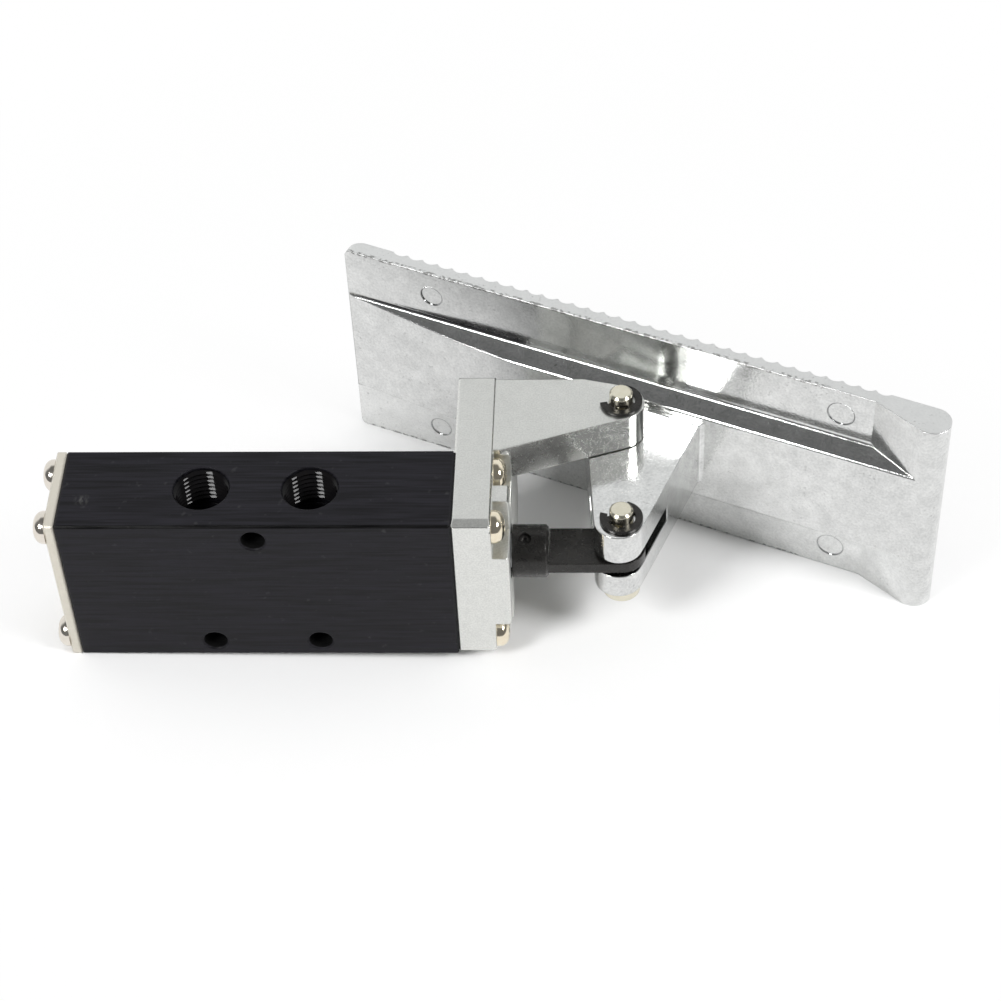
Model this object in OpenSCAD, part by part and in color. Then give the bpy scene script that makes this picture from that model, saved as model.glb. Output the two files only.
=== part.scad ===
// Foot pedal air valve: a five-port spool valve in a flat body, worked by a rocking pedal.
// Millimetres. The origin is the middle of the supply port's mouth. X runs along the spool
// towards the pedal's nose, Y away from the mounting face, Z from the supply face to the
// outlet face. The pedal is shown released.

/* [Valve body] */
// Length of the body along the spool
body_l = 90; // [86:1:110]
// Width of the body between its two port faces
body_w = 45; // [43:1:56]
// Thickness of the body between mounting face and top face
body_t = 24; // [23:0.5:30]
// Chamfer on the body's outer edges
body_edge = 0.5; // [0.2:0.1:0.8]
// Radius of the spool bore
bore_r = 7; // [6.6:0.1:7.4]
// Offset of the spool's axis from the middle of the body's width
axis_shift = 0.9; // [0:0.1:1]
// Width of the ring-shaped undercut around the spool at each port
undercut_w = 6; // [5:0.5:6]
// Depth of that undercut below the bore
undercut_h = 1.5; // [1:0.1:1.8]

/* [Ports] */
// Spacing of neighbouring ports along the spool
port_pitch = 12.5; // [12.3:0.1:13]
// Radius of the bores of the supply and outlet ports
port_r = 5.9; // [5:0.1:6]
// Depth of the supply and outlet ports
port_depth = 12; // [9:0.5:13]
// Radius of the passage from such a port to the spool
passage_r = 4; // [3:0.1:4.5]
// Radius of the bores of the two exhaust ports
exhaust_r = 4.4; // [4:0.1:4.6]
// Depth of the exhaust ports
exhaust_depth = 9; // [8:0.5:11]
// Radius of the passage from an exhaust port to the spool
exhaust_passage_r = 3; // [2.5:0.1:3.5]
// Countersink at the mouth of every port
port_chamfer = 0.85; // [0.5:0.05:1]

/* [Mounting holes] */
// Radius of the three cross holes
mount_r = 2.75; // [2.2:0.05:3]
// Distance of the cross holes from the port faces
mount_edge = 4.9; // [4.5:0.1:5.2]
// Countersink of the cross holes
mount_chamfer = 0.4; // [0.2:0.1:0.6]

/* [End plates and screws] */
// Thickness of the rear cover
cover_t = 2.4; // [2:0.1:4]
// Thickness of the bracket's base plate
plate_t = 9; // [8:0.5:11]
// Height of the raised pad on the bracket's base plate
pad_t = 3.8; // [3.4:0.1:4.6]
// Inset of the raised pad from the body's port faces
pad_inset = 2; // [1.5:0.1:2.4]
// Inset of the base plate's lower edge from the supply face
plate_inset = 1; // [0.6:0.1:1.4]
// Width of the shallow bevel on the base plate's side, towards the mounting face
plate_bevel = 2.4; // [1.6:0.1:3]
// Fall of that bevel
plate_bevel_fall = 0.4; // [0.3:0.1:0.6]
// Reach of the screw heads' pockets from the body's port faces
pocket_reach = 11; // [10:0.2:12]
// Half the width of the pad's rib between the pockets
rib_half = 2.5; // [2:0.1:3]
// Radius of the end screws' shanks
screw_r = 2; // [1.5:0.1:2]
// Radius of the end screws' heads
screw_head_r = 3.85; // [3.4:0.05:3.85]
// Height of the end screws' heads
screw_head_h = 3.1; // [2.6:0.1:3.2]
// Distance of the end screws from the port faces
screw_edge_z = 4.3; // [4.1:0.1:4.8]
// Distance of the end screws from the mounting face and the top face
screw_edge_y = 3.9; // [3.9:0.1:4.3]
// Length of thread in the body
screw_grip = 10; // [8:0.5:12]
// Inner radius of the end seals
end_seal_r = 8.7; // [8.6:0.1:8.8]
// Width of the end seals
end_seal_w = 1.5; // [1.2:0.1:1.6]
// Depth of the end seals' grooves
end_seal_t = 1.2; // [1:0.1:1.4]

/* [Pivot arm] */
// Distance of the pivot from the bracket's base plate
arm_reach = 29.4; // [28:0.2:34]
// Thickness of the arm across the body
arm_t = 10; // [9:0.1:10.6]
// Step from the body's port face to the arm's outer face
arm_inset = 0.4; // [0.3:0.1:1]
// Radius of the boss around the pivot pin
arm_boss_r = 5.4; // [5.2:0.1:6]
// Distance of the bend in the arm's top edge from the pivot
arm_knee = 9; // [7:0.5:11]
// Height of the bracket above the body's top face
bracket_rise = 23.9; // [21:0.1:26]
// Step from the bracket's top down to the arm's top edge
arm_step = 0.6; // [0.4:0.1:2]

/* [Pedal] */
// Length of the pedal
pedal_l = 154.8; // [150:0.5:175]
// Width of the pedal
pedal_w = 60; // [54:1:80]
// Distance of the pivot from the pedal's heel end
heel_l = 79.8; // [76:0.2:86]
// Rounding of the heel's corners
corner_r = 1.6; // [1:0.1:3]
// Distance of the pivot below the pedal's flat underside
pivot_drop = 15.2; // [14.4:0.2:17]
// Slope of the released pedal towards its nose
slope = 22.8; // [20:0.2:25]
// Thickness of the pedal to the bottom of its tread, at the heel
pedal_t = 3.3; // [3:0.1:4.2]
// Loss of thickness from the heel to the nose
pedal_fall = 0.8; // [0:0.1:1]
// Depth of the tread's round grooves
tread_h = 0.8; // [0.5:0.1:1.2]
// Number of grooves of the tread
tread_n = 32; // [24:1:33]
// Spacing of the grooves
tread_pitch = 4; // [3.6:0.1:4]
// Depth of the stiffening spine on the underside
spine_h = 5; // [4:0.2:5.4]
// Half the width of the spine at its root
spine_root = 15.6; // [15:0.1:16.4]
// Half the width of the spine's face
spine_face = 13.9; // [13.4:0.1:14.4]
// Rounding of the spine's edges
spine_edge = 1; // [0.6:0.1:1.4]
// Distance over which the spine rises from the heel end
spine_run = 41; // [34:1:46]
// Height of the spine at the heel end
spine_start = 0.3; // [0.2:0.1:0.6]
// Radius of the bend where the spine levels off
spine_bend = 220; // [120:10:300]
// Length of the ramp that leads into the nose
ramp_l = 13.3; // [10:0.1:16]
// Length of the flat between the ramp and the round nose
nose_flat = 0.9; // [0.5:0.1:3]
// Radius of the round casting marks near the heel
heel_mark_r = 2.8; // [1.8:0.1:3]
// Distance of these marks from the heel end
heel_mark = 23.3; // [22:0.1:25]
// Radius of the round casting marks near the nose
nose_mark_r = 3.3; // [2:0.1:3.4]
// Distance of those marks from the nose end
nose_mark = 26.2; // [25:0.1:28]

/* [Lug and linkage] */
// Distance of the clevis pin from the pivot
lever = 27.6; // [26:0.2:29]
// Width of the lug along the pins
lug_w = 20; // [19:0.2:22]
// Radius of the lug's end
lug_r = 5.7; // [5.4:0.1:6]
// Distance of the lug's end radius beyond the clevis pin
lug_tail = 0.7; // [0:0.1:1]
// Offset of the lug's end towards the heel
lug_shift = 0.6; // [0:0.1:1]
// Fillet between the lug and the spine
lug_fillet = 1.2; // [0.8:0.1:2]
// Root of the lug's sloping edge, ahead of the pivot
lug_root = 14.4; // [11:0.2:16]
// Radius of both pins
pin_r = 2.75; // [2.5:0.05:2.9]
// Length of a pin beyond its clip
pin_end = 2.7; // [1.6:0.1:3]
// Depth of the clip's groove in a pin
pin_groove = 0.7; // [0.5:0.1:0.9]
// Radius of the pins' heads
pin_head_r = 4.4; // [4:0.1:4.8]
// Height of the pins' heads
pin_head_h = 4.4; // [3:0.1:4.6]
// Outer radius of the E-clips
clip_r = 5; // [4.8:0.1:5.2]
// Thickness of the E-clips
clip_t = 0.7; // [0.6:0.1:0.9]
// Angle of the E-clips' opening
clip_gap = 90; // [80:5:100]
// Angle by which the pedal turns when it is pressed
press_angle = 12.5; // [8:0.5:13]

/* [Rod eye] */
// Radius of the rod eye's round socket
socket_r = 6.2; // [5.8:0.1:6.4]
// Length of the socket
socket_l = 8.4; // [7.8:0.1:9]
// Thickness of the flat tongue
tongue_t = 3; // [2.6:0.1:3.4]
// Width of the flat tongue
tongue_w = 11.2; // [9:0.2:11.4]
// Radius of the eye around the clevis pin
eye_r = 5.6; // [5.2:0.1:5.8]
// Distance of the set screw from the socket's end
set_place = 3; // [2.6:0.1:3.6]
// Radius of the set screw
set_r = 1.5; // [1.2:0.05:1.6]
// Lean of the set screw towards the mounting face
set_angle = 15; // [0:1:30]

/* [Spool and spring] */
// Radius of the spool's stem
stem_r = 4; // [3.8:0.1:4.2]
// Distance of the outer spool seals from the outer undercuts
outer_seal = 3; // [2.6:0.1:3.2]
// Width of the spool seals
seal_w = 2.4; // [2:0.1:2.6]
// Depth of the spool seals' grooves
seal_h = 1.7; // [1.4:0.1:1.8]
// Thickness of the spring cup's floor
cup_t = 1.2; // [1:0.1:1.6]
// Radius of the spring wire
wire_r = 0.5; // [0.4:0.05:0.55]
// Turns of the return spring
spring_turns = 5; // [4:0.5:5]
// Wall of the base plate in front of the guide bush's flange
bush_wall = 3; // [2.6:0.1:3.4]
// Width of the wiper ring around the stem
wiper_w = 2.5; // [2.3:0.1:2.8]

/* [Fits] */
// Radial clearance of parts that slide or turn in each other
run_gap = 0.05; // [0.03:0.01:0.08]
// Radial clearance of parts that are fixed in each other
fit_gap = 0.03; // [0.02:0.01:0.05]
// Space between faces that pass each other
side_gap = 0.3; // [0.25:0.05:0.4]
// Space between the tongue and each cheek of the fork
fork_gap = 1; // [0.6:0.1:1.2]

/* [Hidden] */
$fn = 64;
front_x = body_l / 2;
rear_x = -body_l / 2;
top_y = body_t / 2;
mid_z = body_w / 2;
axis_z = mid_z + axis_shift;
plate_x = front_x + plate_t;
pad_x = plate_x + pad_t;
bracket_y = top_y + bracket_rise;
pivot_x = plate_x + arm_reach;
pivot_y = lever;
stroke = lever * press_angle * PI / 180;
clevis = [lever * sin(slope), -lever * cos(slope)];
lug_end = clevis * (1 + lug_tail / lever) - [lug_shift, 0];

port_top = [-port_pitch, port_pitch];
exhausts = [-2 * port_pitch, 2 * port_pitch];
undercuts = [-2 * port_pitch, -port_pitch, 0, port_pitch, 2 * port_pitch];
screw_y = top_y - screw_edge_y;
screw_spots = [
    [screw_y, screw_edge_z],
    [-screw_y, screw_edge_z],
    [screw_y, body_w - screw_edge_z],
    [-screw_y, body_w - screw_edge_z]
];

arm_z1 = body_w - arm_inset;
arm_z0 = arm_z1 - arm_t;
lug_z1 = arm_z0 - side_gap;
lug_z0 = lug_z1 - lug_w;
arm_top_y = bracket_y - arm_step;

land_r = bore_r - 0.25;
groove_r = land_r - seal_h;
end_land = undercut_w / 2 + outer_seal;
seal_rear = -2 * port_pitch - end_land - stroke + 1;
seal_front = 2 * port_pitch + end_land;
seal_spots = [
    seal_rear,
    -1.5 * port_pitch,
    -0.5 * port_pitch - stroke,
    0.5 * port_pitch,
    1.5 * port_pitch - stroke,
    seal_front
];
land_end = seal_w / 2 + 1;
spool_x0 = rear_x + side_gap;
spring_x0 = seal_front + land_end + cup_t;
pocket_r = bore_r + 0.5;
flange_t = 1;
bush_x = front_x + plate_t - bush_wall;
spring_x1 = bush_x - flange_t;
bush_r = stem_r + 2;
wiper_r = stem_r + wiper_w;
wiper_t = 2;
socket_x = pad_x + side_gap;
socket_end = socket_x + socket_l;
stem_x1 = socket_x + socket_l - 1.5;
pin_groove_r = pin_r - pin_groove;
slot_r = pin_r + side_gap;
slot_run = lever * (1 - cos(press_angle));
tongue_gap = tongue_t + 2 * fork_gap;

heel_x = -heel_l;
rim_t = pedal_t + tread_h;
nose_r = (rim_t - pedal_fall + spine_h + 0.1) / 2;
nose_x = pedal_l - heel_l - nose_r;
nose_y = pivot_drop + rim_t - pedal_fall - nose_r;
crest_half = tread_pitch * 0.45;
round_r = (crest_half * crest_half + tread_h * tread_h) / (2 * tread_h);
tread_x = heel_x + (pedal_l - tread_n * tread_pitch) / 2 - 2;

// Solid cylinder on the spool's axis between two places
module disc_x(x0, x1, r) {
    translate([x0, 0, axis_z])
        rotate([0, 90, 0])
            cylinder(r = r, h = x1 - x0);
}

// Cone on the spool's axis
module cone_x(x0, x1, r0, r1) {
    translate([x0, 0, axis_z])
        rotate([0, 90, 0])
            cylinder(r1 = r0, r2 = r1, h = x1 - x0);
}

// Ring on the spool's axis
module ring_x(x0, x1, r0, r1) {
    difference() {
        disc_x(x0, x1, r1);
        disc_x(x0 - 1, x1 + 1, r0);
    }
}

// Rectangle with cut corners
module cut_rect(x0, y0, x1, y1, c) {
    polygon([
        [x0 + c, y0], [x1 - c, y0], [x1, y0 + c], [x1, y1 - c],
        [x1 - c, y1], [x0 + c, y1], [x0, y1 - c], [x0, y0 + c]
    ]);
}

// Block whose edges are all chamfered
module block(p, q, c) {
    intersection() {
        translate([0, 0, p.z])
            linear_extrude(q.z - p.z)
                cut_rect(p.x, p.y, q.x, q.y, c);
        translate([0, q.y, 0])
            rotate([90, 0, 0])
                linear_extrude(q.y - p.y)
                    cut_rect(p.x, p.z, q.x, q.z, c);
        translate([p.x, 0, 0])
            rotate([90, 0, 90])
                linear_extrude(q.x - p.x)
                    cut_rect(p.y, p.z, q.y, q.z, c);
    }
}

// Port bored from the outlet face, to the spool
module port_down(x, r, depth, inner_r) {
    translate([x, 0, body_w - depth])
        cylinder(r = r, h = depth + 1);
    translate([x, 0, body_w - port_chamfer])
        cylinder(r1 = r, r2 = r + 2 * port_chamfer, h = 2 * port_chamfer);
    translate([x, 0, mid_z])
        cylinder(r = inner_r, h = mid_z);
}

// Port bored from the supply face
module port_up(x, r, depth, inner_r) {
    translate([0, 0, body_w])
        mirror([0, 0, 1])
            port_down(x, r, depth, inner_r);
}

// Cross hole for a mounting bolt, countersunk at both ends
module mount_hole(x, z) {
    translate([x, 0, z])
        rotate([90, 0, 0]) {
            cylinder(r = mount_r, h = body_t + 2, center = true);
            for (s = [0, 180])
                rotate([0, s, 0])
                    translate([0, 0, top_y - mount_chamfer])
                        cylinder(r1 = mount_r, r2 = mount_r + 2 * mount_chamfer, h = 2 * mount_chamfer);
        }
}

// Body: a drawn aluminium bar with the bore, the ports and the cross holes
module valve_body() {
    color([0.10, 0.10, 0.11])
        difference() {
            block([rear_x, -top_y, 0], [front_x, top_y, body_w], body_edge);
            disc_x(rear_x - 1, front_x + 1, bore_r);
            for (x = undercuts)
                disc_x(x - undercut_w / 2, x + undercut_w / 2, bore_r + undercut_h);
            for (x = port_top)
                port_down(x, port_r, port_depth, passage_r);
            port_up(0, port_r, port_depth, passage_r);
            for (x = exhausts)
                port_up(x, exhaust_r, exhaust_depth, exhaust_passage_r);
            mount_hole(0, body_w - mount_edge);
            for (x = port_top)
                mount_hole(x, mount_edge);
            end_groove(rear_x, rear_x + end_seal_t);
            end_groove(front_x - end_seal_t, front_x);
            for (s = screw_spots)
                translate([0, s[0], s[1] - axis_z]) {
                    disc_x(rear_x - 1, rear_x + screw_grip + 1, screw_r + fit_gap);
                    disc_x(front_x - screw_grip - 1, front_x + 1, screw_r + fit_gap);
                }
        }
}

// Groove for a seal in an end face
module end_groove(x0, x1) {
    difference() {
        disc_x(x0, x1, end_seal_r + end_seal_w + fit_gap);
        disc_x(x0 - 1, x1 + 1, end_seal_r - fit_gap);
    }
}

// Seal ring that fills the groove in an end face
module end_seal(x0) {
    color([0.06, 0.06, 0.06])
        ring_x(x0, x0 + end_seal_t, end_seal_r, end_seal_r + end_seal_w);
}

module rear_seal() {
    end_seal(rear_x);
}

module front_seal() {
    end_seal(front_x - end_seal_t);
}

// Flat plate that closes the rear end
module rear_cover() {
    color([0.78, 0.74, 0.66])
        difference() {
            block([rear_x - cover_t, -top_y, 0], [rear_x, top_y, body_w], body_edge);
            for (s = screw_spots)
                translate([0, s[0], s[1] - axis_z])
                    disc_x(rear_x - cover_t - 1, rear_x + 1, screw_r + 4 * fit_gap);
        }
}

// Pan-head screw with a cross recess, its seat at zero, its head along +Z
module pan_screw(grip) {
    difference() {
        rotate_extrude()
            polygon([
                [0, -grip],
                [screw_r, -grip],
                [screw_r, 0],
                [screw_head_r, 0],
                [screw_head_r, screw_head_h * 0.5],
                [screw_head_r * 0.86, screw_head_h * 0.8],
                [screw_head_r * 0.55, screw_head_h],
                [0, screw_head_h]
            ]);
        for (a = [0, 90])
            rotate([0, 0, a + 20])
                translate([-screw_head_r * 0.5, -0.45, screw_head_h - 1.3])
                    cube([screw_head_r, 0.9, 2]);
    }
}

module rear_screws() {
    color([0.74, 0.74, 0.75])
        for (s = screw_spots)
            translate([rear_x - cover_t, s[0], s[1]])
                rotate([0, -90, 0])
                    pan_screw(cover_t + screw_grip);
}

module front_screws() {
    color([0.74, 0.74, 0.75])
        for (s = screw_spots)
            translate([plate_x, s[0], s[1]])
                rotate([0, 90, 0])
                    pan_screw(plate_t + screw_grip);
}

// Spool: lands between seal pairs, and a stem that leaves the valve
module spool() {
    color([0.70, 0.71, 0.73])
        difference() {
            union() {
                disc_x(spool_x0, stem_x1, stem_r);
                disc_x(spool_x0, seal_rear + land_end, land_r);
                disc_x(seal_spots[1] - land_end, seal_spots[2] + land_end, land_r);
                disc_x(seal_spots[3] - land_end, seal_spots[4] + land_end, land_r);
                disc_x(seal_front - land_end, seal_front + land_end, land_r);
            }
            for (x = seal_spots)
                ring_x(x - seal_w / 2 - fit_gap, x + seal_w / 2 + fit_gap, groove_r, bore_r + 1);
        }
}

module spool_seals() {
    color([0.08, 0.08, 0.08])
        for (x = seal_spots)
            ring_x(x - seal_w / 2, x + seal_w / 2, groove_r + fit_gap, bore_r - run_gap);
}

// Cup that carries the spring's moving end
module spring_cup() {
    color([0.72, 0.66, 0.45])
        difference() {
            disc_x(spring_x0 - cup_t, spring_x0 + 1, land_r - 0.1);
            disc_x(spring_x0, spring_x0 + 2, land_r - 0.6);
            disc_x(spring_x0 - cup_t - 1, spring_x0 + 2, stem_r + fit_gap);
        }
}

// Compression spring with a closed turn at each end
module return_spring() {
    coil_r = land_r - 0.8 - wire_r;
    run = spring_x1 - spring_x0 - 2 * wire_r - 0.1;
    dead = 2.1 * wire_r;
    per_turn = 20;
    sides = 8;
    steps = per_turn * spring_turns;
    lift = function (i) let (t = i / per_turn)
        t < 1 ? dead * t
        : t > spring_turns - 1 ? run - dead * (spring_turns - t)
        : dead + (run - 2 * dead) * (t - 1) / (spring_turns - 2);
    points = [
        for (i = [0:steps])
            for (j = [0:sides - 1])
                let (a = i * 360 / per_turn, b = j * 360 / sides, r = coil_r + wire_r * cos(b))
                    [lift(i) + wire_r * sin(b), r * cos(a), r * sin(a)]
    ];
    skin = [
        for (i = [0:steps - 1])
            for (j = [0:sides - 1])
                let (k = (j + 1) % sides)
                    [i * sides + j, i * sides + k, (i + 1) * sides + k, (i + 1) * sides + j]
    ];
    caps = [
        [for (j = [sides - 1:-1:0]) j],
        [for (j = [0:sides - 1]) steps * sides + j]
    ];
    color([0.62, 0.63, 0.65])
        translate([spring_x0 + wire_r + 0.05, 0, axis_z])
            polyhedron(points, concat(skin, caps));
}

// Flanged bush that guides the stem and carries the spring's fixed end
module guide_bush() {
    color([0.70, 0.52, 0.25])
        difference() {
            union() {
                disc_x(spring_x1, bush_x, pocket_r - 0.2);
                disc_x(spring_x1, pad_x - wiper_t, bush_r - fit_gap);
            }
            disc_x(spring_x1 - 1, pad_x, stem_r + run_gap);
        }
}

// Wiper pressed into the bracket's mouth
module rod_wiper() {
    color([0.07, 0.07, 0.07])
        difference() {
            disc_x(pad_x - wiper_t, pad_x - 0.1, wiper_r - fit_gap);
            disc_x(pad_x - wiper_t - 1, pad_x + 1, stem_r + run_gap);
        }
}

// Point where a line from p touches the circle around c, on one side
function touch(p, c, r, side) =
    let (d = norm(c - p), a = atan2(c.y - p.y, c.x - p.x), b = asin(r / d))
        p + sqrt(d * d - r * r) * [cos(a + side * b), sin(a + side * b)];

// Outline of the arm in the plane of the pedal's motion
module arm_outline() {
    pivot = [pivot_x, pivot_y];
    root = [plate_x - 1, top_y - 0.6];
    knee = [pivot_x - arm_knee, arm_top_y];
    polygon([
        root,
        touch(root, pivot, arm_boss_r, -1),
        touch(knee, pivot, arm_boss_r, 1),
        knee,
        [plate_x - 1, arm_top_y]
    ]);
    translate(pivot)
        circle(arm_boss_r);
}

// Pocket in the bracket's pad for a screw head
module head_pocket(y0, y1, z0, z1) {
    translate([plate_x, y0, z0])
        cube([pad_t + 1, y1 - y0, z1 - z0]);
}

// Cast bracket: base plate, raised pad with pockets for the screw heads, one pivot arm
module front_bracket() {
    pad_z = [pad_inset, body_w - pad_inset];
    color([0.72, 0.73, 0.74])
        difference() {
            union() {
                block([front_x, -top_y, plate_inset], [plate_x, bracket_y, body_w], body_edge);
                block([front_x + 1, -top_y, pad_z[0]], [pad_x, bracket_y, pad_z[1]], body_edge);
                translate([0, 0, arm_z0])
                    linear_extrude(arm_t)
                        arm_outline();
            }
            translate([front_x - 1, -top_y, body_w])
                rotate([90, 0, 90])
                    linear_extrude(plate_t + pad_t + 2)
                        polygon([
                            [plate_bevel, 0],
                            [plate_bevel, 1],
                            [-plate_bevel, 1],
                            [-plate_bevel, -2 * plate_bevel_fall]
                        ]);
            for (y = [[-top_y - 1, -rib_half], [rib_half, top_y + 0.2]]) {
                head_pocket(y[0], y[1], -1, pocket_reach);
                head_pocket(y[0], y[1], body_w - pocket_reach, body_w + 1);
            }
            disc_x(front_x - 1, bush_x, pocket_r);
            disc_x(front_x, pad_x, bush_r);
            disc_x(pad_x - wiper_t, pad_x + 1, wiper_r);
            for (s = screw_spots)
                translate([0, s[0], s[1] - axis_z])
                    disc_x(front_x - 1, plate_x + 1, screw_r + 4 * fit_gap);
            translate([pivot_x, pivot_y, arm_z0 - 1])
                cylinder(r = pin_r + fit_gap, h = arm_t + 2);
        }
}

// Outline of the rod eye's tongue, seen along the clevis pin
module tongue_outline() {
    difference() {
        union() {
            translate([socket_end - 1, -tongue_w / 2])
                square([pivot_x - socket_end + 1, tongue_w]);
            translate([pivot_x, 0])
                circle(eye_r);
            translate([pivot_x, slot_run])
                circle(eye_r);
            translate([pivot_x - eye_r, 0])
                square([2 * eye_r, slot_run]);
        }
        translate([pivot_x, 0])
            circle(slot_r);
        translate([pivot_x, slot_run])
            circle(slot_r);
        translate([pivot_x - slot_r, 0])
            square([2 * slot_r, slot_run]);
    }
}

// Place of the set screw, across the socket's wall
module at_set_screw() {
    translate([socket_x + set_place, 0, axis_z])
        rotate([set_angle, 0, 0])
            children();
}

// Rod eye: a round socket on the stem and a flat tongue for the clevis pin
module rod_eye() {
    color([0.09, 0.09, 0.10])
        difference() {
            union() {
                disc_x(socket_x, socket_end - 0.6, socket_r);
                cone_x(socket_end - 0.6, socket_end, socket_r, socket_r - 0.6);
                translate([0, 0, axis_z - tongue_t / 2])
                    linear_extrude(tongue_t)
                        tongue_outline();
            }
            disc_x(socket_x - 1, stem_x1 + 0.1, stem_r + fit_gap);
            at_set_screw()
                cylinder(r = set_r + fit_gap, h = socket_r + 1);
        }
}

module eye_set_screw() {
    color([0.12, 0.12, 0.12])
        at_set_screw()
            translate([0, 0, stem_r + 0.02])
                difference() {
                    cylinder(r = set_r, h = socket_r - stem_r - 0.9);
                    translate([0, 0, 0.7])
                        cylinder(r = set_r * 0.5, h = 2, $fn = 6);
                }
}

// Height of the tread's crests at a place along the pedal
function crest_y(x) =
    pivot_drop + rim_t - pedal_fall * (x - heel_x - rim_t) / (nose_x - heel_x - rim_t);

// Long section of the pedal: plate, grooved tread, ramp and rounded nose
module pedal_outline() {
    translate([heel_x + rim_t, pivot_drop])
        intersection() {
            circle(rim_t);
            translate([-rim_t, 0])
                square(rim_t);
        }
    difference() {
        polygon([
            [heel_x + rim_t - 0.01, pivot_drop],
            [nose_x, pivot_drop],
            [nose_x, crest_y(nose_x)],
            [heel_x + rim_t - 0.01, pivot_drop + rim_t]
        ]);
        for (i = [0:tread_n - 1])
            let (x = tread_x + (i + 0.5) * tread_pitch)
                translate([x, crest_y(x) - tread_h + round_r])
                    circle(round_r);
    }
    translate([nose_x, nose_y])
        circle(nose_r);
    polygon([
        [nose_x - nose_flat - ramp_l, pivot_drop + 1],
        [nose_x - nose_flat - ramp_l, pivot_drop],
        [nose_x - nose_flat, nose_y - nose_r],
        [nose_x, nose_y - nose_r],
        [nose_x, nose_y + nose_r],
        [tread_x + tread_n * tread_pitch, nose_y + nose_r],
        [tread_x + tread_n * tread_pitch, pivot_drop + 1]
    ]);
}

// Long section of the spine: it rises from the heel and bends smoothly into its level face
module spine_outline() {
    face_y = pivot_drop - spine_h;
    start = [heel_x + 0.3, pivot_drop - spine_start];
    bend = [heel_x + spine_run, face_y];
    rise = atan2(spine_h - spine_start, bend.x - start.x);
    reach = spine_bend * tan(rise / 2);
    difference() {
        polygon([
            [start.x, pivot_drop + 0.5],
            start,
            bend,
            [nose_x, face_y],
            [nose_x, pivot_drop + 0.5]
        ]);
        difference() {
            polygon([
                bend - reach * [cos(rise), -sin(rise)],
                bend - [0, 1],
                bend + [reach, 0]
            ]);
            translate(bend + [reach, spine_bend])
                circle(spine_bend, $fn = 720);
        }
    }
}

// Stiffening spine, drafted at its walls
module pedal_spine() {
    intersection() {
        linear_extrude(2 * body_w + pedal_w, center = true)
            spine_outline();
        translate([heel_x, 0, mid_z])
            rotate([90, 0, 90])
                linear_extrude(pedal_l)
                    spine_section();
    }
}

// Cross section of the spine, height before width, with rounded edges and filleted feet
module spine_section() {
    foot = 1.6;
    face_y = pivot_drop - spine_h;
    round_y = face_y + spine_edge;
    round_z = spine_face - spine_edge;
    polygon([
        [pivot_drop + 0.5, -spine_root],
        [pivot_drop, -spine_root],
        touch([pivot_drop, -spine_root], [round_y, -round_z], spine_edge, 1),
        [face_y, -round_z],
        [face_y, round_z],
        touch([pivot_drop, spine_root], [round_y, round_z], spine_edge, -1),
        [pivot_drop, spine_root],
        [pivot_drop + 0.5, spine_root]
    ]);
    for (s = [-1, 1]) {
        translate([round_y, s * round_z])
            circle(spine_edge);
        translate([pivot_drop, s * (spine_root - 0.4 * foot)])
            difference() {
                translate([-foot, s > 0 ? 0 : -foot])
                    square([foot + 0.5, foot]);
                translate([-foot, s * foot])
                    circle(foot);
            }
    }
}

// Outline of the lug that reaches from the spine, past the pivot, to the clevis pin
module lug_outline() {
    face_y = pivot_drop - spine_h;
    root = [-lug_root, face_y];
    edge_x = lug_end.x + lug_r;
    polygon([
        root,
        touch(root, lug_end, lug_r, -1),
        lug_end,
        [edge_x, lug_end.y],
        [edge_x, face_y],
        [edge_x, face_y + 2],
        [-lug_root, face_y + 2]
    ]);
    translate(lug_end)
        circle(lug_r);
    translate([edge_x, face_y - lug_fillet])
        difference() {
            square([lug_fillet, lug_fillet + 1]);
            translate([lug_fillet, 0])
                circle(lug_fillet);
        }
}

// What is cut off to round a corner of the heel, seen from above
module heel_corner(side) {
    translate([heel_x + corner_r, pivot_drop, mid_z + side * (pedal_w / 2 - corner_r)])
        rotate([90, 0, 0])
            linear_extrude(4 * rim_t, center = true)
                difference() {
                    translate([-2 * corner_r, side > 0 ? 0 : -2 * corner_r])
                        square(2 * corner_r);
                    circle(corner_r);
                }
}

// Shallow round mark left by the casting tool beside the spine
module casting_mark(x, side, r) {
    translate([x, pivot_drop, mid_z + side * (pedal_w / 2 + spine_root) / 2])
        rotate([90, 0, 0])
            cylinder(r = r, h = 0.5, center = true);
}

// Cast pedal: ribbed plate, spine, and the forked lug with the pivot bore
module foot_pedal() {
    fork_y = -lever * 0.38;
    color([0.70, 0.71, 0.73])
        translate([pivot_x, pivot_y, 0])
            rotate([0, 0, -slope])
                difference() {
                    union() {
                        translate([0, 0, mid_z - pedal_w / 2])
                            linear_extrude(pedal_w)
                                pedal_outline();
                        pedal_spine();
                        translate([0, 0, lug_z0])
                            linear_extrude(lug_w)
                                lug_outline();
                    }
                    translate([0, 0, lug_z0 - 1])
                        cylinder(r = pin_r + run_gap, h = lug_w + 2);
                    translate([clevis.x, clevis.y, lug_z0 - 1])
                        cylinder(r = pin_r + fit_gap, h = lug_w + 2);
                    translate([-lug_root - lug_r, clevis.y - 2 * lug_r, axis_z - tongue_gap / 2])
                        cube([clevis.x + lug_root + 4 * lug_r, fork_y - clevis.y + 2 * lug_r, tongue_gap]);
                    for (s = [-1, 1]) {
                        heel_corner(s);
                        casting_mark(heel_x + heel_mark, s, heel_mark_r);
                        casting_mark(heel_x + pedal_l - nose_mark, s, nose_mark_r);
                    }
                }
}

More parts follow.
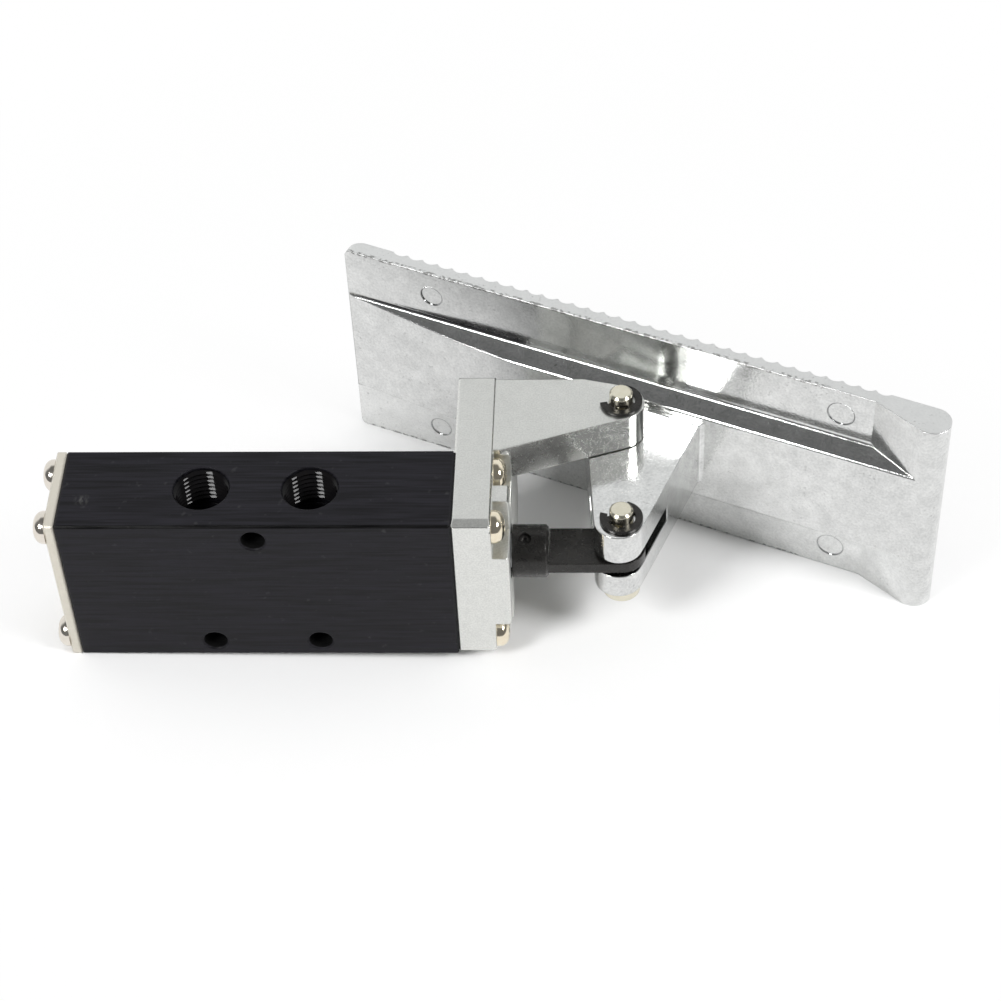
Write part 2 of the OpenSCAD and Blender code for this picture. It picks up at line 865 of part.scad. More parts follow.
// Headed pin along Z: the head below z0, the clip's seat at z1
module headed_pin(z0, z1) {
    edge = 0.5;
    foot = z0 - pin_head_h;
    groove_top = z1 + clip_t + 2 * fit_gap;
    tip = z1 + clip_t + pin_end;
    rotate_extrude()
        polygon([
            [0, foot],
            [pin_head_r - edge, foot],
            [pin_head_r, foot + edge],
            [pin_head_r, z0],
            [pin_r, z0],
            [pin_r, z1],
            [pin_groove_r, z1],
            [pin_groove_r, groove_top],
            [pin_r, groove_top],
            [pin_r, tip - edge],
            [pin_r - edge, tip],
            [0, tip]
        ]);
}

// E-shaped spring clip that opens along +X
module e_clip() {
    inner_r = pin_r + 0.55;
    grip_r = pin_groove_r + fit_gap;
    linear_extrude(clip_t) {
        difference() {
            circle(clip_r);
            circle(inner_r);
            polygon([
                [0, 0],
                [2 * clip_r, -2 * clip_r * tan(clip_gap / 2)],
                [2 * clip_r, 2 * clip_r * tan(clip_gap / 2)]
            ]);
        }
        for (a = [75, 180, 285])
            rotate(a)
                difference() {
                    translate([0, -0.9])
                        square([inner_r + 0.4, 1.8]);
                    circle(grip_r);
                }
    }
}

// Pin of the pedal's hinge, through the arm and the lug
module pivot_pin() {
    color([0.76, 0.72, 0.60])
        translate([pivot_x, pivot_y, 0])
            headed_pin(lug_z0 - side_gap, arm_z1 + fit_gap);
}

module pivot_clip() {
    color([0.10, 0.10, 0.10])
        translate([pivot_x, pivot_y, arm_z1 + 2 * fit_gap])
            rotate([0, 0, 145])
                e_clip();
}

// Pin that joins the pedal's fork to the rod eye
module clevis_pin() {
    color([0.76, 0.72, 0.60])
        translate([pivot_x, 0, 0])
            headed_pin(lug_z0, lug_z1 + fit_gap);
}

module clevis_clip() {
    color([0.10, 0.10, 0.10])
        translate([pivot_x, 0, lug_z1 + 2 * fit_gap])
            rotate([0, 0, 118])
                e_clip();
}

valve_body();
rear_seal();
rear_cover();
rear_screws();
spool();
spool_seals();
spring_cup();
return_spring();
guide_bush();
front_seal();
front_bracket();
rod_wiper();
front_screws();
rod_eye();
eye_set_screw();
foot_pedal();
pivot_pin();
pivot_clip();
clevis_pin();
clevis_clip();
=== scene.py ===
from math import cos, pi, radians, sin

import bmesh
import bpy
from mathutils import Matrix, Vector


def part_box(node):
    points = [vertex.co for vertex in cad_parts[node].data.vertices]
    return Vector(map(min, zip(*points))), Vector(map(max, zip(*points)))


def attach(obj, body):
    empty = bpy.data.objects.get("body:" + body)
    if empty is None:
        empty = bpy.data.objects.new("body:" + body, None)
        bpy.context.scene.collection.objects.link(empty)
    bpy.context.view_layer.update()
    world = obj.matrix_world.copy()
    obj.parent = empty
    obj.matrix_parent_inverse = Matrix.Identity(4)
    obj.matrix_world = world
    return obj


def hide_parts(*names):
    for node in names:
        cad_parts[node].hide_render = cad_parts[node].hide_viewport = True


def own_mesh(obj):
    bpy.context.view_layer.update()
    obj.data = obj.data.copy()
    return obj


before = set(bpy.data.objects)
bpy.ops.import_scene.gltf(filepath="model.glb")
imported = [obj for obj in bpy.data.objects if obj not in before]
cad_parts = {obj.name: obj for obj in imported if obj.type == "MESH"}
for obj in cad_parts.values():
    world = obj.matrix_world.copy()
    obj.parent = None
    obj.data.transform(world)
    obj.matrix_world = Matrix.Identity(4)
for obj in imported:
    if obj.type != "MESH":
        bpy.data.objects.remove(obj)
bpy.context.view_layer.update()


# Valve body: a bar of drawn aluminium, anodised black, with fine lines along its length.
# It is bored through for the spool, tapped for pipe fittings on two sides and drilled across
# for the bolts that hold the valve down.
class Shade:
    """A shader socket that takes part in plain arithmetic."""

    def __init__(self, tree, socket=None):
        self.tree = tree
        self.socket = socket

    def node(self, kind, settings, inputs, output=0):
        made = self.tree.nodes.new(kind)
        for name, value in settings.items():
            setattr(made, name, value)
        for name, value in inputs.items():
            if isinstance(value, Shade):
                self.tree.links.new(value.socket, made.inputs[name])
            else:
                made.inputs[name].default_value = value
        return Shade(self.tree, made.outputs[output])

    def feed(self, socket):
        self.tree.links.new(self.socket, socket)

    def math(self, operation, left, right):
        return self.node("ShaderNodeMath", {"operation": operation}, {0: left, 1: right})

    def __add__(self, other):
        return self.math("ADD", self, other)

    def __sub__(self, other):
        return self.math("SUBTRACT", self, other)

    def __rsub__(self, other):
        return self.math("SUBTRACT", other, self)

    def __mul__(self, other):
        return self.math("MULTIPLY", self, other)

    __radd__ = __add__
    __rmul__ = __mul__

    def size(self):
        return self.math("ABSOLUTE", self, 0)

    def within(self, low, high):
        """Nought below low, one above high, and a straight rise between them."""
        return self.node(
            "ShaderNodeMapRange", {"clamp": True}, {"Value": self, "From Min": low, "From Max": high}
        )

    def between(self, first, second):
        """A colour that goes from the first to the second as this value rises."""
        return self.node("ShaderNodeMix", {"data_type": "RGBA"}, {0: self, 6: first, 7: second}, 2)

    def axis(self, letter):
        """One coordinate of this vector."""
        return self.node("ShaderNodeSeparateXYZ", {}, {0: self}, letter)

    def paired(self, other):
        """A place on a flat plane, with this value across and the other up."""
        return self.node("ShaderNodeCombineXYZ", {}, {"X": self, "Y": other})

    def away(self, spot):
        """Distance of this place from a spot."""
        return self.node("ShaderNodeVectorMath", {"operation": "DISTANCE"}, {0: self, 1: spot}, 1)


def finish(name, colour, metallic, roughness):
    """A new material, a Shade on its tree and the sockets of its surface."""
    material = bpy.data.materials.new(name)
    material.use_nodes = True
    surface = material.node_tree.nodes["Principled BSDF"].inputs
    surface["Base Color"].default_value = (*colour, 1)
    surface["Metallic"].default_value = metallic
    surface["Roughness"].default_value = roughness
    return material, Shade(material.node_tree), surface


def place(shade):
    """The place on the piece, in metres."""
    return shade.node("ShaderNodeTexCoord", {}, {}, "Object")


def grain(shade, waves, detail=3, shift=0.0):
    """Noise on the piece's own place, with so many waves to the metre along each axis."""
    spread = shade.node(
        "ShaderNodeMapping", {}, {"Vector": place(shade), "Scale": waves, "Location": (shift, shift, shift)}
    )
    return shade.node("ShaderNodeTexNoise", {}, {"Vector": spread, "Scale": 1.0, "Detail": detail})


def relief(shade, height, depth, radius=0.0):
    """Normal of a surface with this relief, its edges rounded off to the radius."""
    inputs = {"Height": height, "Distance": depth, "Strength": 1.0}
    if radius:
        inputs["Normal"] = shade.node("ShaderNodeBevel", {"samples": 6}, {"Radius": radius})
    return shade.node("ShaderNodeBump", {}, inputs)


def dress(node, material):
    """Gives a solid that is shown as it is its finish."""
    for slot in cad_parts[node].material_slots:
        slot.material = material


def merged(node):
    """A copy of a solid's mesh with its corners joined."""
    mesh = bmesh.new()
    mesh.from_mesh(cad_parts[node].data)
    bmesh.ops.remove_doubles(mesh, verts=mesh.verts, dist=0.000002)
    return mesh


def piece(name, mesh, material, body, slot, *nodes, crease=32):
    """Makes an object of a mesh, lets it ride on a body and stand for the nodes it replaces."""
    data = bpy.data.meshes.new(name)
    mesh.to_mesh(data)
    mesh.free()
    for polygon in data.polygons:
        polygon.use_smooth = True
    data.set_sharp_from_angle(angle=radians(crease))
    data.materials.append(material)
    made = bpy.data.objects.new(name, data)
    bpy.context.scene.collection.objects.link(made)
    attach(made, body)
    if nodes:
        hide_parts(*nodes)
    return made


anodising, shade, surface = finish("black_anodising", (0.008, 0.008, 0.0095), 0.0, 0.45)
here = place(shade)
lines = grain(shade, (70, 1700, 1700), 4)
clouds = grain(shade, (70, 70, 70), 4)
spots = grain(shade, (420, 420, 420), 2).within(0.66, 0.78)
scuffed_spot, middle_z = (-0.0394, -0.0036, 0.045), 0.0225
scuff = 1 - here.away(scuffed_spot).within(0.0002, 0.0021)
scuff = scuff * grain(shade, (1400, 700, 1400), 3).within(0.42, 0.66)
from_middle_y, from_middle_z = here.axis("Y").size(), (here.axis("Z") - middle_z).size()
# Painted reflection: the four long edges are coloured near black, standing for the dark room they mirror.
edge = from_middle_y.within(0.0112, 0.0116) * from_middle_z.within(0.0217, 0.0221)
bolt_r, bolt_holes = 0.00275, ((-0.0125, 0.0049, 0), (0.0125, 0.0049, 0), (0, 0.0401, 0))
across = here.axis("X").paired(here.axis("Z"))
# Painted shade: the inside of the three bolt holes is coloured near black and made rougher.
hole = 0
for spot in bolt_holes:
    hole = hole + (1 - across.away(spot).within(bolt_r + 0.00002, bolt_r + 0.00005))
(0.34 + 0.26 * lines.within(0.3, 0.7) + 0.08 * clouds - 0.22 * edge + 0.4 * hole).feed(surface["Roughness"])
streaks = 0.3 * clouds + 0.7 * lines.within(0.36, 0.64)
tint = streaks.between((0.0005, 0.0004, 0.0012, 1), (0.015, 0.0142, 0.0192, 1))
tint = (0.35 * spots).between(tint, (0.05, 0.05, 0.052, 1))
tint = (0.35 * scuff).between(tint, (0.16, 0.16, 0.15, 1))
tint = edge.between(tint, (0.001, 0.001, 0.0012, 1))
hole.between(tint, (0.0004, 0.0004, 0.0005, 1)).feed(surface["Base Color"])
relief(shade, lines + 0.6 * spots, 0.00003, 0.0004).feed(surface["Normal"])
surface["Specular IOR Level"].default_value = 0.18

mesh = merged("valve_body")
wide_tap = {"bore": 0.0059, "outer": 0.00658, "crest": 0.00576, "pitch": 0.001337, "depth": 0.012}
small_tap = {"bore": 0.0044, "outer": 0.00486, "crest": 0.00432, "pitch": 0.000907, "depth": 0.009}
outlet_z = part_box("valve_body")[1][2]
ports = [
    (Vector((-0.0125, 0, outlet_z)), -1, wide_tap),
    (Vector((0.0125, 0, outlet_z)), -1, wide_tap),
    (Vector((0, 0, 0)), 1, wide_tap),
    (Vector((-0.025, 0, 0)), 1, small_tap),
    (Vector((0.025, 0, 0)), 1, small_tap),
]
wall_slack, end_slack, mouth_depth, rim_drop = 0.00004, 0.0001, 0.002, 0.0002
for mouth, inward, tap in ports:
    for vert in mesh.verts:
        out = (vert.co - mouth).xy
        deep = (vert.co.z - mouth.z) * inward
        if abs(out.length - tap["bore"]) < wall_slack and 0 <= deep <= tap["depth"] + end_slack:
            vert.co.xy = mouth.xy + out * (tap["outer"] / out.length)
            if deep < mouth_depth:
                vert.co.z = mouth.z + inward * rim_drop
piece("body_with_tapped_ports", mesh, anodising, "valve", "body_black", "valve_body", crease=14)

# Port threads: cut in the body's five ports and anodised with it, so that their flanks gleam.
# Each port above is opened to its thread's outer radius, and the ridge stands in it, coiled.
thread_gloss, shade, surface = finish("cut_thread_anodising", (0.006, 0.006, 0.007), 0.0, 0.12)
(0.03 + 0.08 * grain(shade, (900, 900, 900))).feed(surface["Roughness"])
tint = grain(shade, (300, 300, 300)).between((0.004, 0.004, 0.005, 1), (0.009, 0.008, 0.008, 1))
tint.feed(surface["Base Color"])
surface["Specular IOR Level"].default_value = 0.12


def coil_thread(mesh, mouth, inward, tap):
    """A thread's ridge, wound down a port's wall from the mouth."""
    foot, tip, start = 0.44 * tap["pitch"], 0.07 * tap["pitch"], 0.4 * tap["pitch"]
    root_r, shoulder_r = tap["outer"] + 0.00004, tap["crest"] + 0.00006
    corners = [(root_r, -foot), (shoulder_r, -tip), (tap["crest"], 0), (shoulder_r, tip), (root_r, foot)]
    verts = [mesh.verts.new((r, 0, -start - foot + h)) for r, h in corners]
    edges = [mesh.edges.new(pair) for pair in zip(verts, verts[1:])]
    turns = int((tap["depth"] - start - 3 * foot) / tap["pitch"])
    steps = 40
    bmesh.ops.spin(
        mesh,
        geom=verts + edges,
        cent=(0, 0, 0),
        axis=(0, 0, 1),
        dvec=(0, 0, -tap["pitch"] / steps),
        angle=2 * pi * turns,
        steps=steps * turns,
    )
    grown = {vert for face in mesh.faces for vert in face.verts if not vert.tag}
    seat = Matrix.Translation(mouth)
    if inward > 0:
        seat = seat @ Matrix.Rotation(pi, 4, "X")
    bmesh.ops.transform(mesh, matrix=seat, verts=list(grown))
    for vert in grown:
        vert.tag = True


mesh = bmesh.new()
for mouth, inward, tap in ports:
    coil_thread(mesh, mouth, inward, tap)
bmesh.ops.recalc_face_normals(mesh, faces=mesh.faces)
for face in mesh.faces:
    middle = face.calc_center_median()
    port_axis = min((mouth for mouth, *_ in ports), key=lambda spot: (spot.xy - middle.xy).length)
    out = middle.xy - port_axis.xy
    if face.normal.xy.dot(out) > 0.2 * out.length:
        face.normal_flip()
piece("port_threads", mesh, thread_gloss, "valve", "body_black")

# Rear cover and its seal: a plate of nickel-plated steel that closes the spool's bore, on a
# rubber ring. Its cut edges are a pale warm grey.
plate, shade, surface = finish("warm_nickel_plate", (0.66, 0.62, 0.54), 0.5, 0.36)
specks = grain(shade, (800, 800, 800))
brush = grain(shade, (300, 40, 1600), 4)
(0.28 + 0.18 * specks).feed(surface["Roughness"])
tint = (0.5 * specks + 0.5 * brush).between((0.58, 0.545, 0.47, 1), (0.71, 0.675, 0.595, 1))
tint.feed(surface["Base Color"])
relief(shade, specks + brush, 0.00002, 0.0004).feed(surface["Normal"])
dress("rear_cover", plate)

rubber, shade, surface = finish("black_rubber", (0.02, 0.02, 0.02), 0.0, 0.6)
skin = grain(shade, (1200, 1200, 1200))
(0.5 + 0.2 * skin).feed(surface["Roughness"])
skin.between((0.014, 0.014, 0.014, 1), (0.028, 0.028, 0.027, 1)).feed(surface["Base Color"])
for node in ("rear_seal", "front_seal", "spool_seals", "rod_wiper"):
    dress(node, rubber)

# End screws: pan-head machine screws with a cross recess, four at each end, of bright plated
# steel. The front ones have a yellower plating.
head_r, head_h, shank_r = 0.00385, 0.0031, 0.002


def pan_head(grip):
    """A screw along +Z with its seat at nought: shank and domed head."""
    mesh = bmesh.new()
    rim, crown_r, crown_h, chamfer = 0.0008, 0.0014, 0.003, 0.0003
    corners = [(0, -grip), (shank_r - chamfer, -grip), (shank_r, -grip + chamfer), (shank_r, 0)]
    corners += [(head_r - 0.0001, 0), (head_r, 0.0001)]
    for turn in (radians(angle) for angle in range(0, 91, 10)):
        corners.append((crown_r + (head_r - crown_r) * cos(turn), rim + (crown_h - rim) * sin(turn)))
    corners += [(0.0008, 0.00307), (0, head_h)]
    verts = [mesh.verts.new((r, 0, h)) for r, h in corners]
    edges = [mesh.edges.new(pair) for pair in zip(verts, verts[1:])]
    bmesh.ops.spin(
        mesh,
        geom=verts + edges,
        cent=(0, 0, 0),
        axis=(0, 0, 1),
        angle=2 * pi,
        steps=48,
        use_merge=True,
    )
    bmesh.ops.remove_doubles(mesh, verts=mesh.verts, dist=0.000002)
    bmesh.ops.recalc_face_normals(mesh, faces=mesh.faces)
    return mesh


def cross_cutter():
    """The shape of the cross recess: two tapered blades, a little turned."""
    mesh = bmesh.new()
    for turn in (0, pi / 2):
        made = bmesh.ops.create_cube(mesh, size=1)["verts"]
        for vert in made:
            top = vert.co.z > 0
            vert.co.x *= 0.0044 if top else 0.0016
            vert.co.y *= 0.00105 if top else 0.0006
            vert.co.z = 0.0036 if top else 0.0012
        spun = Matrix.Rotation(turn + radians(20), 3, "Z")
        bmesh.ops.rotate(mesh, verts=made, cent=(0, 0, 0), matrix=spun)
    return mesh


def loose(name, mesh):
    """An object that rides on nothing: a blank for cutting, or the table."""
    data = bpy.data.meshes.new(name)
    mesh.to_mesh(data)
    mesh.free()
    made = bpy.data.objects.new(name, data)
    bpy.context.scene.collection.objects.link(made)
    return made


def recessed(grip):
    """The screw with its recess cut, as a mesh."""
    head, cutter = loose("head_blank", pan_head(grip)), loose("recess_blank", cross_cutter())
    cut = head.modifiers.new("recess", "BOOLEAN")
    cut.object = cutter
    cut.solver = "EXACT"
    cut.use_self = True
    ready = bpy.data.meshes.new_from_object(head.evaluated_get(bpy.context.evaluated_depsgraph_get()))
    for blank in (head, cutter):
        bpy.data.objects.remove(blank)
    return ready


def screw_set(name, node, seat_x, turn, grip, material):
    """Four screws at the places where the CAD has them, each turned a little differently."""
    one = recessed(grip)
    low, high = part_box(node)
    rows, columns = (low[1] + head_r, high[1] - head_r), (low[2] + head_r, high[2] - head_r)
    mesh = bmesh.new()
    for count, (y, z) in enumerate((y, z) for y in rows for z in columns):
        known = set(mesh.verts)
        mesh.from_mesh(one)
        fresh = [vert for vert in mesh.verts if vert not in known]
        driven = Matrix.Rotation(radians(23 + 37 * count), 4, "Z")
        seat = Matrix.Translation((seat_x, y, z)) @ Matrix.Rotation(turn, 4, "Y") @ driven
        bmesh.ops.transform(mesh, matrix=seat, verts=fresh)
    return piece(name, mesh, material, "valve", "screw_steel", node)


bright_steel, shade, surface = finish("bright_plated_steel", (0.82, 0.79, 0.76), 1.0, 0.12)
wear = grain(shade, (700, 700, 700))
(0.07 + 0.12 * wear).feed(surface["Roughness"])
wear.between((0.70, 0.65, 0.58, 1), (0.82, 0.77, 0.70, 1)).feed(surface["Base Color"])
relief(shade, wear, 0.00001, 0.00015).feed(surface["Normal"])
yellow_steel, shade, surface = finish("yellow_plated_steel", (0.83, 0.75, 0.58), 1.0, 0.12)
wear = grain(shade, (700, 700, 700))
(0.07 + 0.14 * wear).feed(surface["Roughness"])
wear.between((0.80, 0.70, 0.52, 1), (0.88, 0.82, 0.68, 1)).feed(surface["Base Color"])
relief(shade, wear, 0.00001, 0.00015).feed(surface["Normal"])
cover_face, rear_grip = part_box("rear_cover")[0][0], 0.0124
plate_face, front_grip = 0.054, 0.019
screw_set("rear_pan_screws", "rear_screws", cover_face, -pi / 2, rear_grip, bright_steel)
screw_set("front_pan_screws", "front_screws", plate_face, pi / 2, front_grip, yellow_steel)

# Spool, spring and bush: the moving inside of the valve, turned and drawn metal that shows
# only through the open ports and at the stem.
turned, shade, surface = finish("turned_alloy", (0.70, 0.71, 0.73), 1.0, 0.3)
rings = grain(shade, (4000, 60, 60))
(0.2 + 0.2 * rings).feed(surface["Roughness"])
rings.between((0.62, 0.63, 0.65, 1), (0.74, 0.75, 0.77, 1)).feed(surface["Base Color"])
dress("spool", turned)
bronze, shade, surface = finish("sintered_bronze", (0.60, 0.42, 0.22), 1.0, 0.45)
pores = grain(shade, (1500, 1500, 1500))
(0.35 + 0.25 * pores).feed(surface["Roughness"])
pores.between((0.46, 0.31, 0.15, 1), (0.64, 0.46, 0.25, 1)).feed(surface["Base Color"])
dress("spring_cup", bronze)
dress("guide_bush", bronze)
wire, shade, surface = finish("spring_wire", (0.55, 0.55, 0.57), 1.0, 0.3)
drawn = grain(shade, (500, 500, 500))
(0.22 + 0.16 * drawn).feed(surface["Roughness"])
drawn.between((0.46, 0.46, 0.48, 1), (0.60, 0.60, 0.62, 1)).feed(surface["Base Color"])
coil = piece("return_coil", merged("return_spring"), wire, "valve", "spring_steel", "return_spring")
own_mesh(coil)

# Front bracket: die-cast aluminium with one arm for the pedal's pivot. Its two wide sides are
# ground to a fine even satin, the sides towards the pedal are duller, and the rest is as cast.
# Painted shade puts a dark line along the back corner of its top.
casting, shade, surface = finish("satin_casting", (0.71, 0.715, 0.70), 1.0, 0.3)
flow = grain(shade, (80, 80, 80), 4)
mottle = grain(shade, (420, 420, 420), 4, 3.0)
pores = grain(shade, (2600, 2600, 2600), 2, 5.0)
facing, square_on = shade.node("ShaderNodeNewGeometry", {}, {}, "Normal"), (0.9, 0.97)
ground = facing.axis("Z").size().within(*square_on) + (-1 * facing.axis("Y")).within(*square_on)
inner = facing.axis("Y").within(*square_on) + facing.axis("X").within(*square_on)
(0.09 + 0.04 * mottle + 0.03 * pores + 0.22 * ground + 0.3 * inner).feed(surface["Roughness"])
(1 - 0.3 * inner).feed(surface["Metallic"])
tint = 0.2 * flow + 0.35 * mottle + 0.45 * pores.within(0.3, 0.7)
tint = tint.between((0.57, 0.575, 0.555, 1), (0.87, 0.875, 0.845, 1))
here, back_line = place(shade), 0.0352
# Painted shade: a dark line along the back edge of the top, on its tilted corner faces.
back_edge_shade = here.axis("Y").within(back_line, back_line + 0.0002) * facing.axis("Z").within(0.3, 0.6)
back_edge_shade = back_edge_shade * (1 - here.axis("X").within(plate_face - 0.0002, plate_face))
(0.85 * back_edge_shade).between(tint, (0.05, 0.05, 0.05, 1)).feed(surface["Base Color"])
relief(shade, 0.5 * flow + 0.20 * mottle + 0.20 * pores, 0.00004, 0.0004).feed(surface["Normal"])
dress("front_bracket", casting)

# Rod eye and its set screw, and the two E-clips: black oxide steel, oiled, so that edges
# catch the light. The eye is locked on the spool's stem.
oxide, shade, surface = finish("black_oxide", (0.02, 0.02, 0.022), 0.5, 0.32)
wear = grain(shade, (500, 500, 500), 4)
blotch = grain(shade, (1800, 1800, 1800), 2, 5.0)
(0.14 + 0.26 * wear).feed(surface["Roughness"])
tint = (0.6 * wear + 0.4 * blotch).between((0.006, 0.006, 0.006, 1), (0.042, 0.040, 0.037, 1))
tint.feed(surface["Base Color"])
relief(shade, wear + 0.5 * blotch, 0.00002, 0.0004).feed(surface["Normal"])
for node in ("rod_eye", "eye_set_screw", "pivot_clip", "clevis_clip"):
    dress(node, oxide)

# Pins: turned steel with a pale yellow plating. One holds the pedal in the bracket's arm and
# the other joins its lug to the rod eye, and the E-clips keep both in place.
pale_plate, shade, surface = finish("pale_yellow_plate", (0.74, 0.70, 0.58), 1.0, 0.2)
wear = grain(shade, (600, 600, 600))
(0.12 + 0.14 * wear).feed(surface["Roughness"])
wear.between((0.66, 0.62, 0.50, 1), (0.80, 0.77, 0.65, 1)).feed(surface["Base Color"])
relief(shade, wear, 0.00001, 0.0003).feed(surface["Normal"])
for node in ("pivot_pin", "clevis_pin"):
    dress(node, pale_plate)

# Foot pedal: die-cast aluminium with a grooved tread, bright on its underside, where flow
# marks, small pores and the round marks of the mould show. Its long edges are trimmed and
# satin, with a broken dark line along them, and the tread's grooves are rougher and coloured
# darker deeper in. Near the heel, painted shade darkens the crease at the foot of the spine,
# and the strip below it is coloured lighter as a painted reflection.
bright_casting, shade, surface = finish("bright_casting", (0.74, 0.745, 0.74), 1.0, 0.2)
flow = grain(shade, (60, 60, 60), 4)
cloud = grain(shade, (260, 260, 260), 5, 7.0)
pores = grain(shade, (1700, 1700, 1700), 2)
patches = grain(shade, (75, 75, 75), 3, 11.0).within(0.40, 0.58)
specks = grain(shade, (1100, 1100, 1100), 3, 2.0).within(0.62, 0.74) * patches
slope, pivot = radians(22.8), Vector((0.0834, 0.0276, 0.0225))
shift = -(Matrix.Rotation(slope, 3, "Z") @ pivot)
own = shade.node(
    "ShaderNodeMapping", {}, {"Vector": place(shade), "Rotation": (0, 0, slope), "Location": shift}
)
along, height, half_width = own.axis("X"), own.axis("Y"), own.axis("Z").size()
trimmed = half_width.within(0.0297, 0.0299)
under = 1 - height.within(0.0158, 0.0162)

mark_out, ring = 0.0228, 0
for mark_along, radius in ((-0.0565, 0.0028), (0.0488, 0.0033)):
    out = along.paired(half_width).away((mark_along, mark_out, 0))
    ring = ring + (1 - (out - radius).size().within(0.0001, 0.00028)) * under

first_groove, last_groove, side_blend = -0.0683, 0.0597, 0.0002
heel_x, heel_crest, fall = -0.0757, 0.0193, 0.0008 / 0.1467
grooved = along.within(first_groove, first_groove + side_blend)
grooved = grooved * (1 - along.within(last_groove - side_blend, last_groove))
depth = (heel_crest - fall * (along - heel_x)) - height
hollow = depth.within(0.0001, 0.0008) * grooved * (1 - under) * (1 - trimmed)
(0.09 + 0.05 * cloud + 0.04 * pores + 0.20 * trimmed + 0.14 * hollow).feed(surface["Roughness"])

spine_foot = 0.0156
low_side, heel_part = -1 * own.axis("Z"), under * (1 - along.within(-0.035, -0.02))
# Painted reflection: the low strip beside the spine near the heel is coloured lighter.
strip = low_side.within(spine_foot + 0.0001, spine_foot + 0.0004) * heel_part
# Painted shade: a thin dark line in the crease at the foot of the spine, near the heel.
crease_shade = (1 - (low_side - spine_foot).size().within(0.0001, 0.0003)) * heel_part
rim = half_width.within(0.0293, 0.0296) * under * (1 - along.within(0.043, 0.047))
rim = rim * grain(shade, (900, 900, 900), 2, 9.0).within(0.48, 0.58)
tint = 0.2 * flow + 0.4 * cloud.within(0.3, 0.7) + 0.4 * pores.within(0.3, 0.7)
tint = tint.between((0.54, 0.545, 0.54, 1), (0.83, 0.835, 0.825, 1))
for mask, colour in (
    (0.6 * trimmed, (0.82, 0.825, 0.82, 1)),
    (0.7 * hollow, (0.26, 0.262, 0.26, 1)),
    (0.35 * strip, (0.86, 0.865, 0.855, 1)),
    (0.7 * crease_shade, (0.22, 0.22, 0.215, 1)),
    (0.7 * rim, (0.16, 0.16, 0.155, 1)),
    (0.6 * specks, (0.36, 0.355, 0.35, 1)),
    (0.6 * ring, (0.24, 0.245, 0.25, 1)),
):
    tint = mask.between(tint, colour)
tint.feed(surface["Base Color"])
relief(shade, 0.4 * flow + 0.25 * cloud + 0.25 * pores, 0.00008, 0.0004).feed(surface["Normal"])
dress("foot_pedal", bright_casting)

# Table, lights and camera: the valve lies on its side on a white table, propped on the
# pedal's edge and on the body's rear corner, in a dim room with two softboxes and a pale
# backdrop behind it.
pedal_heel, pedal_nose = Vector((0.0157, 0.0726, -0.0075)), Vector((0.157, 0.010, -0.0075))
body_corner = Vector((-0.0474, -0.012, 0.0))
upright = (pedal_nose - pedal_heel).cross(pedal_heel - body_corner).normalized()
if upright.z < 0:
    upright.negate()
middle = Vector((0.055, 0.06, 0))
middle.z = pedal_heel.z - ((middle - pedal_heel).xy.dot(upright.xy)) / upright.z
mesh = bmesh.new()
bmesh.ops.create_circle(mesh, cap_ends=True, radius=0.6, segments=96)
turn = Vector((0, 0, 1)).rotation_difference(upright).to_matrix().to_4x4()
bmesh.ops.transform(mesh, matrix=Matrix.Translation(middle) @ turn, verts=mesh.verts)
table = loose("table", mesh)
white, shade, surface = finish("white_table", (0.93, 0.93, 0.93), 0.0, 0.8)
glow = shade.node("ShaderNodeEmission", {}, {"Color": (1, 1, 1, 1), "Strength": 1.0})
seen = shade.node("ShaderNodeLightPath", {}, {}, "Is Camera Ray")
mirrored = shade.node("ShaderNodeLightPath", {}, {}, "Is Glossy Ray")
lit = Shade(white.node_tree, white.node_tree.nodes["Principled BSDF"].outputs[0])
far = place(shade).away(middle)
open_sky = shade.node("ShaderNodeAmbientOcclusion", {"samples": 12}, {"Distance": 0.06}, "AO")
open_near = shade.node("ShaderNodeAmbientOcclusion", {"samples": 8}, {"Distance": 0.035}, "AO")
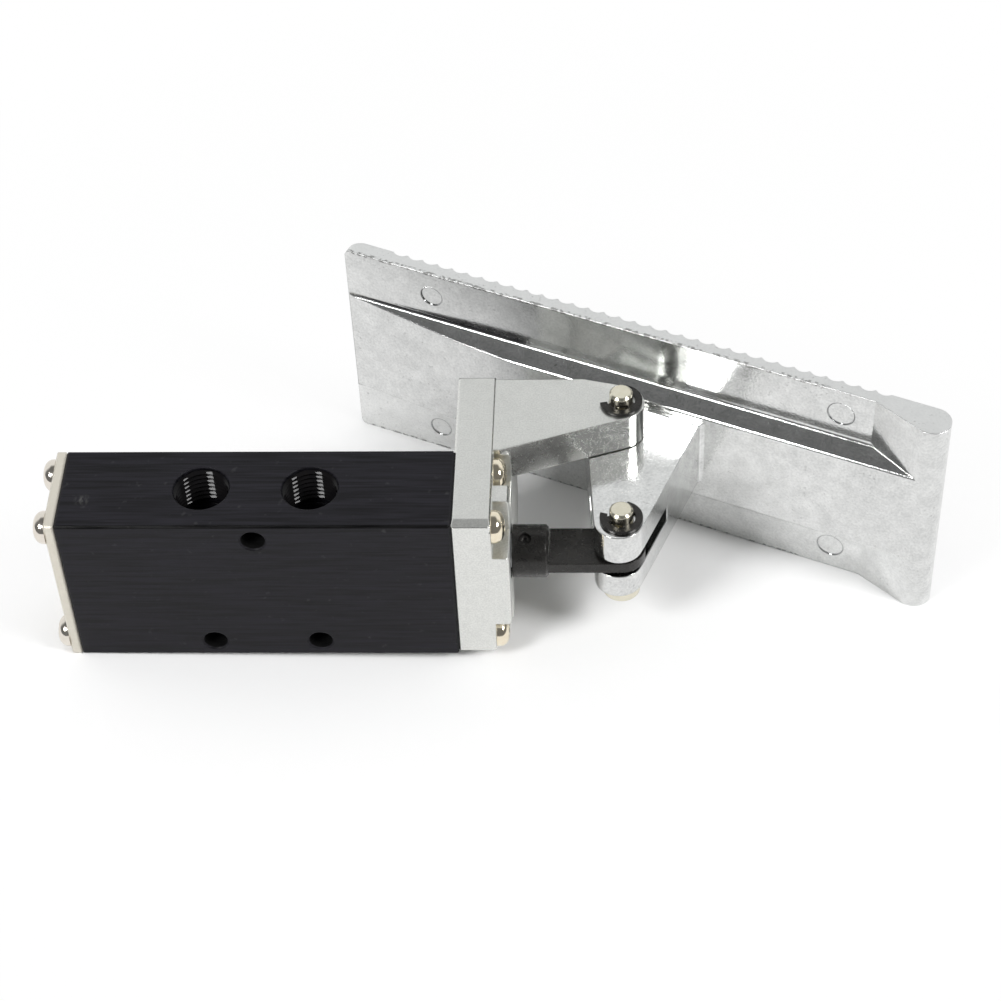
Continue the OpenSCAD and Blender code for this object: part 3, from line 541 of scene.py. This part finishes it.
share = open_sky.within(0.45, 0.95) * (0.93 + 0.07 * far.within(0.10, 0.22)) * seen
share = share + 0.85 * open_near.within(0.5, 0.85) * mirrored
shown = shade.node("ShaderNodeMixShader", {}, {0: share, 1: lit, 2: glow})
shown.feed(white.node_tree.nodes["Material Output"].inputs["Surface"])
table.data.materials.append(white)

world = bpy.data.worlds.new("studio")
world.use_nodes = True
bpy.context.scene.world = world
shade = Shade(world.node_tree)
seen = shade.node("ShaderNodeLightPath", {}, {}, "Is Camera Ray")
sight = shade.node("ShaderNodeTexCoord", {}, {}, "Generated")
backdrop = sight.axis("Y").within(0.05, 0.35) * (1 - sight.axis("Z").within(0.76, 0.90))
room = 0.18 + 0.76 * backdrop
background = world.node_tree.nodes["Background"]
seen.between((0.99, 1.0, 1.0, 1), (1, 1, 1, 1)).feed(background.inputs["Color"])
(seen + (1 - seen) * room).feed(background.inputs["Strength"])

lamp_size, lamp_power, lamp_distance = 0.25, 4.9, 0.9
lit_spot = Vector((0.055, 0.03, 0.02))
for name, side in (("left_softbox", (-0.52, -0.53, 0.67)), ("right_softbox", (0.675, -0.33, 0.66))):
    lamp = bpy.data.lights.new(name, "AREA")
    lamp.size = lamp_size
    lamp.energy = lamp_power
    holder = bpy.data.objects.new(name, lamp)
    away = Vector(side).normalized() * lamp_distance
    aimed = away.to_track_quat("Z", "Y").to_matrix().to_4x4()
    holder.matrix_world = Matrix.Translation(lit_spot + away) @ aimed
    bpy.context.scene.collection.objects.link(holder)

lens = bpy.data.cameras.new("camera")
lens.sensor_width = 36
lens.lens = 93.66
camera = bpy.data.objects.new("camera", lens)
right = Vector((0.998856, 0.030881, -0.036511))
above = Vector((0.002062, 0.734987, 0.678078))
back = right.cross(above)
looking = Matrix((right, above, back)).transposed().to_4x4()
camera.matrix_world = Matrix.Translation((0.084282, -0.402912, 0.477291)) @ looking
bpy.context.scene.collection.objects.link(camera)
bpy.context.scene.camera = camera
bpy.context.scene.view_settings.view_transform = "Standard"
